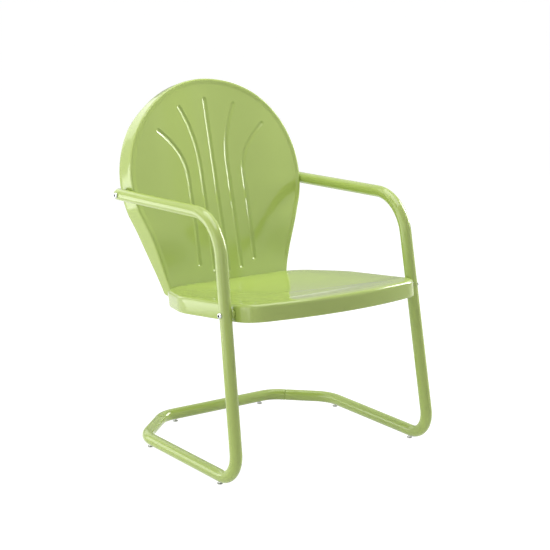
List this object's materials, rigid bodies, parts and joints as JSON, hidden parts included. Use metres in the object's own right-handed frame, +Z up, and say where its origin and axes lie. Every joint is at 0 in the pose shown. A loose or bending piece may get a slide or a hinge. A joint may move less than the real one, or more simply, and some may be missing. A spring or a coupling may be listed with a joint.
{
  "type": "metal spring lawn chair",
  "caption": "Metal lawn chair with a ribbed shell back, a dished seat pan and a springy bent tube frame that is open at the front.",
  "frame": {"origin": "on the floor, under the middle of the chair's bounding box", "axes": "+X to the sitter's left, +Y to the rear, +Z up"},
  "size_m": [0.5934, 0.6518, 0.8669],
  "materials": {
    "green_enamel": "gloss baked enamel",
    "bright_zinc": "bright plated steel",
    "glide_steel": "satin steel"
  },
  "bodies": {
    "base": {"floor_rail_left": "green_enamel", "floor_rail_right": "green_enamel", "rear_stretcher": "green_enamel", "glide_front_left": "glide_steel", "glide_front_right": "glide_steel", "glide_rear_left": "glide_steel", "glide_rear_right": "glide_steel", "glide_stretcher_left": "glide_steel", "glide_stretcher_right": "glide_steel"},
    "seat_frame": {"seat_pan": "green_enamel", "back_panel": "green_enamel", "arm_and_leg_left": "green_enamel", "arm_and_leg_right": "green_enamel", "leg_spacer_left": "green_enamel", "leg_spacer_right": "green_enamel", "leg_bolt_left": "bright_zinc", "leg_bolt_right": "bright_zinc", "leg_nut_left": "bright_zinc", "leg_nut_right": "bright_zinc", "arm_bolt_left": "bright_zinc", "arm_bolt_right": "bright_zinc", "arm_nut_left": "bright_zinc", "arm_nut_right": "bright_zinc", "back_bolt_left": "bright_zinc", "back_bolt_middle": "bright_zinc", "back_bolt_right": "bright_zinc", "back_nut_left": "bright_zinc", "back_nut_middle": "bright_zinc", "back_nut_right": "bright_zinc"}
  },
  "joints": [
    {"name": "spring_flex", "type": "hinge", "parent": "base", "child": "seat_frame", "pos_m": [0, -0.27305, 0.1128], "axis": [-1, 0, 0], "range_deg": [-1.5, 4], "stiffness_Nm_per_rad": 5000, "springref_deg": -0.31}
  ]
}
